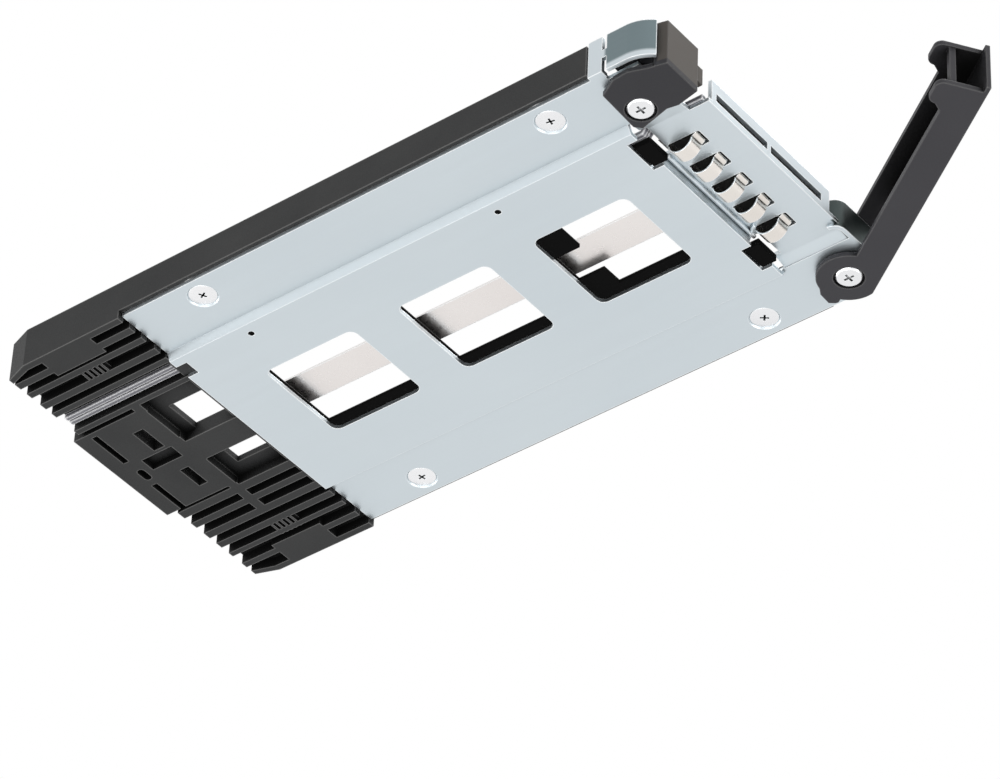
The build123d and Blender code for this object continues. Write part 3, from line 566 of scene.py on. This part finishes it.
# Near-black finish of the sheet and bar that paint the shade behind the finger openings and
# slots.
SLOT_SHADE_FINISH = MouldedFinish(
    "painted_slot_shade", (0.010, 0.010, 0.010), (0.016, 0.016, 0.015), (0.85, 0.98),
    texture_scale=2600.0, depth=0.00004, gloss=0.10, edge_highlight_tone=(0.020, 0.020, 0.019))
PIPE_PLASTIC = ClearFinish(
    "pipe_plastic", (0.15, 0.15, 0.17), roughness=0.14, transmission=0.15)


class Finishes:
    """Dresses the rigid nodes that keep their own solid.

    Attributes:
        by_node: The finish of each node.
        rounded: Radius of the edges of the nodes that are rounded.
        flat_degrees: Bend below which neighbouring faces count as one flat face.
        sharp_degrees: Bend above which an edge is rounded.
        built: The materials that exist so far, by name.
    """

    by_node: dict[str, Finish] = {
        "base_plate": ZINC_PLATE,
        "tray_frame": FRAME_PLASTIC,
        "lever": LEVER_PLASTIC,
        "latch_button": LATCH_PLASTIC,
        "drive_screws": SCREW_STEEL,
        "lever_pivot_post": SCREW_STEEL,
        "latch_pivot_post": SCREW_STEEL,
        "lever_pivot_screw": SCREW_STEEL,
        "latch_pivot_screw": SCREW_STEEL,
        "lever_spring": SPRING_STEEL,
        "latch_spring": SPRING_STEEL,
        "light_pipe_activity": PIPE_PLASTIC,
        "light_pipe_status": PIPE_PLASTIC,
        "centre_strip": BRIGHT_STRIP,
        "emi_strip": FINGER_STEEL,
    }
    rounded: dict[str, float] = {
        "light_pipe_activity": 0.10 * MM,
        "light_pipe_status": 0.10 * MM,
        "lever": 0.12 * MM,
        "latch_button": 0.12 * MM,
    }
    flat_degrees: float = 1.0
    sharp_degrees: float = 40.0

    def __init__(self) -> None:
        """Start with no material built."""
        self.built: dict[str, bpy.types.Material] = {}

    def material(self, finish: Finish) -> bpy.types.Material:
        """Return the one material of a finish, built at first use.

        Args:
            finish: One of the finishes above.

        Returns:
            Its material.
        """
        if finish.name not in self.built:
            self.built[finish.name] = finish.build()
        return self.built[finish.name]

    def dress_nodes(self) -> None:
        """Give every node its material."""
        for name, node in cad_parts.items():
            material = self.material(self.by_node[name])
            if not node.material_slots:
                node.data.materials.append(material)
            for slot in node.material_slots:
                slot.material = material
            LOG.info("dressed %s with %s", name, material.name)

    def round_edges(self) -> None:
        """Round the sharp edges of the nodes that show them.

        The triangles of flat faces are merged first, because the bevel needs whole faces.
        """
        for name, width in self.rounded.items():
            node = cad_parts[name]
            weld = node.modifiers.new("weld", "WELD")
            weld.merge_threshold = WELD_REACH
            flat = node.modifiers.new("flats", "DECIMATE")
            flat.decimate_type = "DISSOLVE"
            flat.angle_limit = math.radians(self.flat_degrees)
            bevel = node.modifiers.new("edges", "BEVEL")
            bevel.width = width
            bevel.segments = EDGE_SEGMENTS
            bevel.limit_method = "ANGLE"
            bevel.angle_limit = math.radians(self.sharp_degrees)
            bevel.use_clamp_overlap = False
            LOG.info("rounded %s", name)


@dataclass
class Studio:
    """Floor, lamps, white surroundings and the camera of the reference view.

    Attributes:
        floor_z: Height of the floor.
        floor_size: Its side.
        floor_cells: Cells along its side.
        floor_colour: First colour of its faint clouds.
        floor_cloud: Their second colour.
        cloud_scale: Cells of the clouds for each metre.
        surround: Strength of the light from all sides.
        camera_at: Where the camera stands.
        camera_right: Direction to the right in its picture.
        camera_down: Direction down in its picture.
        camera_forward: Direction that it looks in.
        camera_reach: Nearest and farthest distance that it sees.
        sensor: Width of its sensor in millimetres.
        lens: Its focal length in millimetres.
        lamps: Name, place, side and power of each lamp.
    """

    floor_z: float = -0.0034
    floor_size: float = 1.6
    floor_cells: int = 8
    floor_colour: Colour = (0.86, 0.87, 0.88)
    floor_cloud: Colour = (0.88, 0.885, 0.89)
    cloud_scale: float = 12.0
    surround: float = 0.62
    camera_at: Point = (-0.519418, -0.433806, -0.587573)
    camera_right: Point = (0.612418, -0.789675, 0.036837)
    camera_down: Point = (0.525313, 0.371690, -0.765436)
    camera_forward: Point = (0.590754, 0.488118, 0.642456)
    camera_reach: tuple[float, float] = (0.05, 20.0)
    sensor: float = 36.0
    lens: float = 184.136
    lamps: tuple[tuple[str, Point, float, float], ...] = (
        ("key", (-0.55, -0.10, -0.85), 0.90, 5.0),
        ("front", (0.10, -0.95, -0.35), 0.60, 4.0),
        ("rear", (-0.30, 0.85, -0.30), 0.60, 3.0),
        ("top", (0.20, -0.15, 1.05), 0.90, 12.0),
    )

    def build(self) -> None:
        """Make the whole studio."""
        self.make_camera()
        self.make_floor()
        self.make_world()
        for name, place, size, power in self.lamps:
            self.make_lamp(name, place, size, power)
        bpy.context.scene.view_settings.view_transform = "Standard"

    def make_camera(self) -> None:
        """Place the camera where the reference view was taken."""
        data = bpy.data.cameras.new("camera")
        data.sensor_width = self.sensor
        data.lens = self.lens
        data.clip_start, data.clip_end = self.camera_reach
        camera = bpy.data.objects.new("camera", data)
        bpy.context.collection.objects.link(camera)
        axes = (self.camera_right, self.camera_down, self.camera_forward)
        right, down, forward = (Vector(axis) for axis in axes)
        turn = Matrix((right, -down, -forward)).transposed()
        camera.matrix_world = Matrix.Translation(Vector(self.camera_at)) @ turn.to_4x4()
        bpy.context.scene.camera = camera

    def make_floor(self) -> None:
        """Pale floor that shows from above only and lets light up through it."""
        Workbench.clear()
        bpy.ops.mesh.primitive_grid_add(
            x_subdivisions=self.floor_cells, y_subdivisions=self.floor_cells,
            size=self.floor_size, location=(0.0, 0.0, self.floor_z))
        floor = bpy.context.object
        floor.name = "floor"
        nodes = Nodes("floor_paper")
        tone = nodes.tint(nodes.noise(self.cloud_scale), self.floor_colour, self.floor_cloud)
        pale = nodes.add("ShaderNodeBsdfDiffuse")
        clear = nodes.add("ShaderNodeBsdfTransparent")
        rays = nodes.add("ShaderNodeLightPath")
        side = nodes.add("ShaderNodeNewGeometry")
        front = nodes.add("ShaderNodeMath", operation="SUBTRACT")
        front.inputs[0].default_value = 1.0
        nodes.join(tone, pale.inputs["Color"])
        nodes.join(side.outputs["Backfacing"], front.inputs[1])
        shown = nodes.combine("MULTIPLY", rays.outputs["Is Camera Ray"], front.outputs["Value"])
        both = nodes.blend(shown, clear.outputs["BSDF"], pale.outputs["BSDF"])
        nodes.join(both, nodes.output.inputs["Surface"])
        floor.data.materials.append(nodes.material)

    def make_world(self) -> None:
        """White for camera, glossy and transmission rays, softer light for the rest."""
        world = bpy.data.worlds.new("surround")
        world.use_nodes = True
        bpy.context.scene.world = world
        tree = Tree(world.node_tree, "ShaderNodeOutputWorld")
        light = tree.add("ShaderNodeBackground")
        white = tree.add("ShaderNodeBackground")
        for background in (light, white):
            background.inputs["Color"].default_value = (1.0, 1.0, 1.0, 1.0)
        light.inputs["Strength"].default_value = self.surround
        rays = tree.add("ShaderNodeLightPath")
        bright = rays.outputs["Is Camera Ray"]
        for kind in ("Is Glossy Ray", "Is Transmission Ray"):
            bright = tree.combine("MAXIMUM", bright, rays.outputs[kind])
        both = tree.blend(bright, light.outputs["Background"], white.outputs["Background"])
        tree.join(both, tree.output.inputs["Surface"])

    def make_lamp(self, name: str, place: Point, size: float, power: float) -> None:
        """Add one soft square lamp aimed at the origin.

        Args:
            name: The lamp's name.
            place: Where it stands.
            size: Its side.
            power: Its power in watts.
        """
        data = bpy.data.lights.new(f"lamp_{name}", "AREA")
        data.size = size
        data.energy = power
        lamp = bpy.data.objects.new(f"lamp_{name}", data)
        lamp.location = place
        lamp.rotation_euler = (-Vector(place)).to_track_quat("-Z", "Y").to_euler()
        bpy.context.collection.objects.link(lamp)


class Workbench:
    """Steps that the new pieces share, done with Blender's own modelling operators.

    Attributes:
        FACING: How closely a face has to look the asked way, 1 for exactly.
    """

    FACING: float = 0.9

    @staticmethod
    def clear() -> None:
        """Deselect everything, so that the next operator acts on the new piece alone."""
        bpy.ops.object.select_all(action="DESELECT")

    @staticmethod
    def pick(piece: bpy.types.Object) -> None:
        """Select one piece alone and make it the active one."""
        Workbench.clear()
        piece.select_set(True)
        bpy.context.view_layer.objects.active = piece

    @staticmethod
    def settle(piece: bpy.types.Object) -> None:
        """Put a piece's place into its mesh and its origin at the part's origin."""
        Workbench.pick(piece)
        bpy.ops.object.transform_apply(location=True, rotation=True, scale=True)

    @staticmethod
    def select_facing(piece: bpy.types.Object, way: Point) -> None:
        """Select only the faces that look one way, in edit mode.

        Args:
            piece: The piece in edit mode.
            way: The direction that they look in.
        """
        bpy.ops.mesh.select_all(action="DESELECT")
        mesh = bmesh.from_edit_mesh(piece.data)
        for face in mesh.faces:
            face.select = face.normal.dot(Vector(way)) > Workbench.FACING
        bmesh.update_edit_mesh(piece.data)

    @staticmethod
    def end_edit() -> None:
        """Turn all faces outwards and leave edit mode."""
        bpy.ops.mesh.select_all(action="SELECT")
        bpy.ops.mesh.normals_make_consistent(inside=False)
        bpy.ops.object.mode_set(mode="OBJECT")

    @staticmethod
    def block(name: str, low: Point, high: Point, edge: float) -> bpy.types.Object:
        """Add a block with all its edges rounded.

        Args:
            name: The piece's name.
            low: Its lowest corner.
            high: Its highest corner.
            edge: Radius of its edges.

        Returns:
            The piece.
        """
        Workbench.clear()
        middle = tuple((a + b) / 2 for a, b in zip(low, high))
        size = tuple(b - a for a, b in zip(low, high))
        bpy.ops.mesh.primitive_cube_add(size=1.0, location=middle, scale=size)
        piece = bpy.context.object
        piece.name = name
        Workbench.settle(piece)
        bpy.ops.object.mode_set(mode="EDIT")
        bpy.ops.mesh.select_all(action="SELECT")
        bpy.ops.mesh.bevel(offset=edge, segments=EDGE_SEGMENTS, affect="EDGES")
        bpy.ops.object.mode_set(mode="OBJECT")
        return piece

    @staticmethod
    def merge(pieces: list[bpy.types.Object], name: str) -> bpy.types.Object:
        """Join pieces into one.

        Args:
            pieces: What is joined.
            name: The whole's name.

        Returns:
            The one piece.
        """
        Workbench.clear()
        for piece in pieces:
            piece.select_set(True)
        bpy.context.view_layer.objects.active = pieces[0]
        bpy.ops.object.join()
        pieces[0].name = name
        return pieces[0]

    @staticmethod
    def smooth(piece: bpy.types.Object, degrees: float) -> None:
        """Shade smooth across edges flatter than an angle."""
        Workbench.pick(piece)
        bpy.ops.object.shade_smooth_by_angle(angle=math.radians(degrees))


@dataclass
class FingerBand:
    """Rolled rear edge of the finger strip, with a dark sheet behind its fingers and a dark bar
    behind the slots, both painted shade.

    Attributes:
        roll_radius: Radius of the rolled edge.
        roll_left_x: Where it starts.
        roll_right_x: Where its straight part ends.
        roll_y: Its place in y.
        roll_z: Its place in z.
        roll_sides: Its number of sides.
        roll_smooth_deg: Bend below which faces are shaded smooth.
        bend_radius: Radius of the bend at its right end.
        bend_steps: Steps of the bend.
        bend_deg: How far it bends.
        shade_sheet_low: Lowest corner of the dark sheet that paints shade behind the fingers.
        shade_sheet_high: Its highest corner.
        shade_sheet_edge: Radius of its edges.
        bar_low: Lowest corner of the dark bar that paints shade behind the slots.
        bar_high: Its highest corner.
        bar_edge: Radius of its edges.
    """

    roll_radius: float = 0.40 * MM
    roll_left_x: float = -12.4 * MM
    roll_right_x: float = 12.7 * MM
    roll_y: float = -49.15 * MM
    roll_z: float = -1.33 * MM
    roll_sides: int = 20
    roll_smooth_deg: float = 35.0
    bend_radius: float = 2.5 * MM
    bend_steps: int = 10
    bend_deg: float = 75.0
    shade_sheet_low: Point = (-15.3 * MM, -57.1 * MM, 0.06 * MM)
    shade_sheet_high: Point = (15.3 * MM, -50.0 * MM, 1.5 * MM)
    shade_sheet_edge: float = 0.25 * MM
    bar_low: Point = (-17.0 * MM, -61.75 * MM, 0.06 * MM)
    bar_high: Point = (14.4 * MM, -60.9 * MM, 3.3 * MM)
    bar_edge: float = 0.15 * MM

    def make_roll(self) -> bpy.types.Object:
        """Return the rolled edge, straight with a rounded right end."""
        Workbench.clear()
        length = self.roll_right_x - self.roll_left_x
        middle = ((self.roll_right_x + self.roll_left_x) / 2, self.roll_y, self.roll_z)
        bpy.ops.mesh.primitive_cylinder_add(
            vertices=self.roll_sides, radius=self.roll_radius, depth=length, location=middle,
            rotation=(0.0, math.pi / 2, 0.0))
        roll = bpy.context.object
        roll.name = "strip_roll"
        Workbench.settle(roll)
        bpy.ops.object.mode_set(mode="EDIT")
        Workbench.select_facing(roll, (1.0, 0.0, 0.0))
        centre = (self.roll_right_x, self.roll_y - self.bend_radius, self.roll_z)
        bpy.ops.mesh.spin(steps=self.bend_steps, angle=math.radians(self.bend_deg),
                          center=centre, axis=(0.0, 0.0, -1.0))
        bpy.ops.mesh.select_all(action="SELECT")
        bpy.ops.mesh.remove_doubles(threshold=WELD_REACH)
        Workbench.end_edit()
        Workbench.smooth(roll, self.roll_smooth_deg)
        return roll

    def build(self, finishes: Finishes) -> None:
        """Make and dress the three pieces.

        Args:
            finishes: Where the materials come from.
        """
        roll = self.make_roll()
        # Dark sheet and bar: painted shade behind the finger openings and the front wall's
        # slots.
        shade_sheet = Workbench.block("finger_shade_sheet", self.shade_sheet_low, self.shade_sheet_high, self.shade_sheet_edge)
        bar = Workbench.block("slot_shade_bar", self.bar_low, self.bar_high, self.bar_edge)
        for piece, finish in ((roll, ZINC_PLATE), (shade_sheet, SLOT_SHADE_FINISH), (bar, SLOT_SHADE_FINISH)):
            piece.data.materials.append(finishes.material(finish))
            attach(piece, "base")
            LOG.info("made %s", piece.name)


@dataclass
class DriveScrews:
    """Four countersunk screws with a cross recess and a real thread.

    Attributes:
        places: The screws' axes, in x and y.
        turns_deg: How far each screw is turned.
        sides: Sides of the round body.
        smooth_deg: Bend below which faces are shaded smooth.
        head_z: Height of the head's flat.
        rim_radius: Radius of the head's flat.
        head_radius: Widest radius of the head.
        rim: Height of the small slope round the flat.
        land: Height of the straight part of the head.
        cone: Height of the countersunk part.
        core_radius: Radius of the core.
        tip_z: Height of the screw's end.
        tip: Height of the narrowing at the end.
        tip_share: Share of the core's radius that is left at the end.
        cross: Length of the cross recess.
        cross_width: Width of its arms.
        cross_depth: Its depth.
        cross_taper: Share of its size that is left at the bottom.
        pitch: Rise of the thread for each turn.
        thread_radius: Outer radius of the thread.
        thread_share: Size of the thread's triangle, against the thread's height.
        thread_rise: Height of the thread's start over the cone.
        thread_end: Distance kept free at the screw's end.
        thread_steps: Steps for each turn.
        thread_weld: Distance at which the thread's points are merged.
    """

    places: tuple[tuple[float, float], ...] = tuple(
        (sx * 30.86 * MM, sy * 38.30 * MM) for sx in (-1, 1) for sy in (-1, 1))
    turns_deg: tuple[float, ...] = (12.0, 63.0, 38.0, 80.0)
    sides: int = 48
    smooth_deg: float = 32.0
    head_z: float = -1.52 * MM
    rim_radius: float = 2.46 * MM
    head_radius: float = 2.60 * MM
    rim: float = 0.08 * MM
    land: float = 0.10 * MM
    cone: float = 1.30 * MM
    core_radius: float = 1.26 * MM
    tip_z: float = 2.80 * MM
    tip: float = 0.25 * MM
    tip_share: float = 0.72
    cross: float = 2.30 * MM
    cross_width: float = 0.52 * MM
    cross_depth: float = 0.95 * MM
    cross_taper: float = 0.42
    pitch: float = 0.45 * MM
    thread_radius: float = 1.49 * MM
    thread_share: float = 1.35
    thread_rise: float = 0.2 * MM
    thread_end: float = 0.45 * MM
    thread_steps: int = 24
    thread_weld: float = 0.0000005

    def make_body(self) -> bpy.types.Object:
        """Return the head and core, grown upwards from the head's flat."""
        Workbench.clear()
        bpy.ops.mesh.primitive_circle_add(
            vertices=self.sides, radius=self.rim_radius, fill_type="NGON",
            location=(0.0, 0.0, self.head_z))
        body = bpy.context.object
        Workbench.settle(body)
        bpy.ops.object.mode_set(mode="EDIT")
        bpy.ops.mesh.select_all(action="SELECT")
        length = self.tip_z - self.head_z - self.rim - self.land - self.cone - self.tip
        steps = (
            (self.rim, self.head_radius),
            (self.land, self.head_radius),
            (self.cone, self.core_radius),
            (length, self.core_radius),
            (self.tip, self.core_radius * self.tip_share),
        )
        z, radius = self.head_z, self.rim_radius
        for rise, wide in steps:
            bpy.ops.mesh.extrude_region_move(TRANSFORM_OT_translate={"value": (0.0, 0.0, rise)})
            z += rise
            bpy.ops.transform.resize(
                value=(wide / radius, wide / radius, 1.0), center_override=(0.0, 0.0, z))
            radius = wide
        Workbench.end_edit()
        return body

    def cut_cross(self, body: bpy.types.Object) -> None:
        """Cut the tapered cross recess into the head.

        Args:
            body: The screw's body.
        """
        for turn in (0.0, math.pi / 2):
            Workbench.clear()
            bpy.ops.mesh.primitive_cube_add(
                size=1.0, location=(0.0, 0.0, self.head_z), rotation=(0.0, 0.0, turn),
                scale=(self.cross, self.cross_width, 2 * self.cross_depth))
            blade = bpy.context.object
            Workbench.settle(blade)
            bpy.ops.object.mode_set(mode="EDIT")
            Workbench.select_facing(blade, (0.0, 0.0, 1.0))
            bpy.ops.transform.resize(
                value=(self.cross_taper, self.cross_taper, 1.0),
                center_override=(0.0, 0.0, self.head_z))
            bpy.ops.object.mode_set(mode="OBJECT")
            Workbench.pick(body)
            cut = body.modifiers.new("cross", "BOOLEAN")
            cut.operation = "DIFFERENCE"
            cut.solver = "EXACT"
            cut.object = blade
            bpy.ops.object.modifier_apply(modifier=cut.name)
            bpy.data.objects.remove(blade, do_unlink=True)

    def make_thread(self) -> bpy.types.Object:
        """Return the thread, a small triangle wound up round the core."""
        Workbench.clear()
        start_z = self.head_z + self.rim + self.land + self.cone
        turns = (self.tip_z - self.thread_end - start_z) / self.pitch
        across = (self.thread_radius - self.core_radius) * self.thread_share
        bpy.ops.mesh.primitive_circle_add(
            vertices=3, radius=across, fill_type="NOTHING",
            location=(self.thread_radius - across, 0.0, start_z + self.thread_rise),
            rotation=(math.pi / 2, math.pi / 2, 0.0))
        thread = bpy.context.object
        Workbench.settle(thread)
        wind = thread.modifiers.new("wind", "SCREW")
        wind.axis = "Z"
        wind.angle = 2 * math.pi * turns
        wind.screw_offset = self.pitch * turns
        wind.steps = wind.render_steps = round(self.thread_steps * turns)
        bpy.ops.object.modifier_apply(modifier=wind.name)
        bpy.ops.object.mode_set(mode="EDIT")
        bpy.ops.mesh.select_all(action="SELECT")
        bpy.ops.mesh.remove_doubles(threshold=self.thread_weld)
        bpy.ops.mesh.select_non_manifold()
        bpy.ops.mesh.fill()
        Workbench.end_edit()
        return thread

    def build(self, finishes: Finishes) -> None:
        """Model one screw, copy it to the four places and let it stand for the plain ones.

        Args:
            finishes: Where the material comes from.
        """
        body = self.make_body()
        self.cut_cross(body)
        first = Workbench.merge([body, self.make_thread()], "drive_screw")
        screws = [first]
        for _ in self.places[1:]:
            Workbench.pick(first)
            bpy.ops.object.duplicate(linked=False)
            screws.append(bpy.context.object)
        for screw, (x, y), turn in zip(screws, self.places, self.turns_deg):
            screw.rotation_euler = (0.0, 0.0, math.radians(turn))
            screw.location = (x, y, 0.0)
            Workbench.settle(screw)
        whole = Workbench.merge(screws, "threaded_drive_screws")
        Workbench.smooth(whole, self.smooth_deg)
        whole.data.materials.append(finishes.material(SCREW_STEEL))
        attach(whole, "base")
        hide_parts("drive_screws")
        LOG.info("made %s", whole.name)


def main() -> None:
    """Build the scene in order."""
    logging.basicConfig(level=logging.INFO, format="%(name)s: %(message)s")
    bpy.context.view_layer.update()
    Studio().build()
    finishes = Finishes()
    finishes.dress_nodes()
    finishes.round_edges()
    FingerBand().build(finishes)
    DriveScrews().build(finishes)


if __name__ == "__main__":
    main()
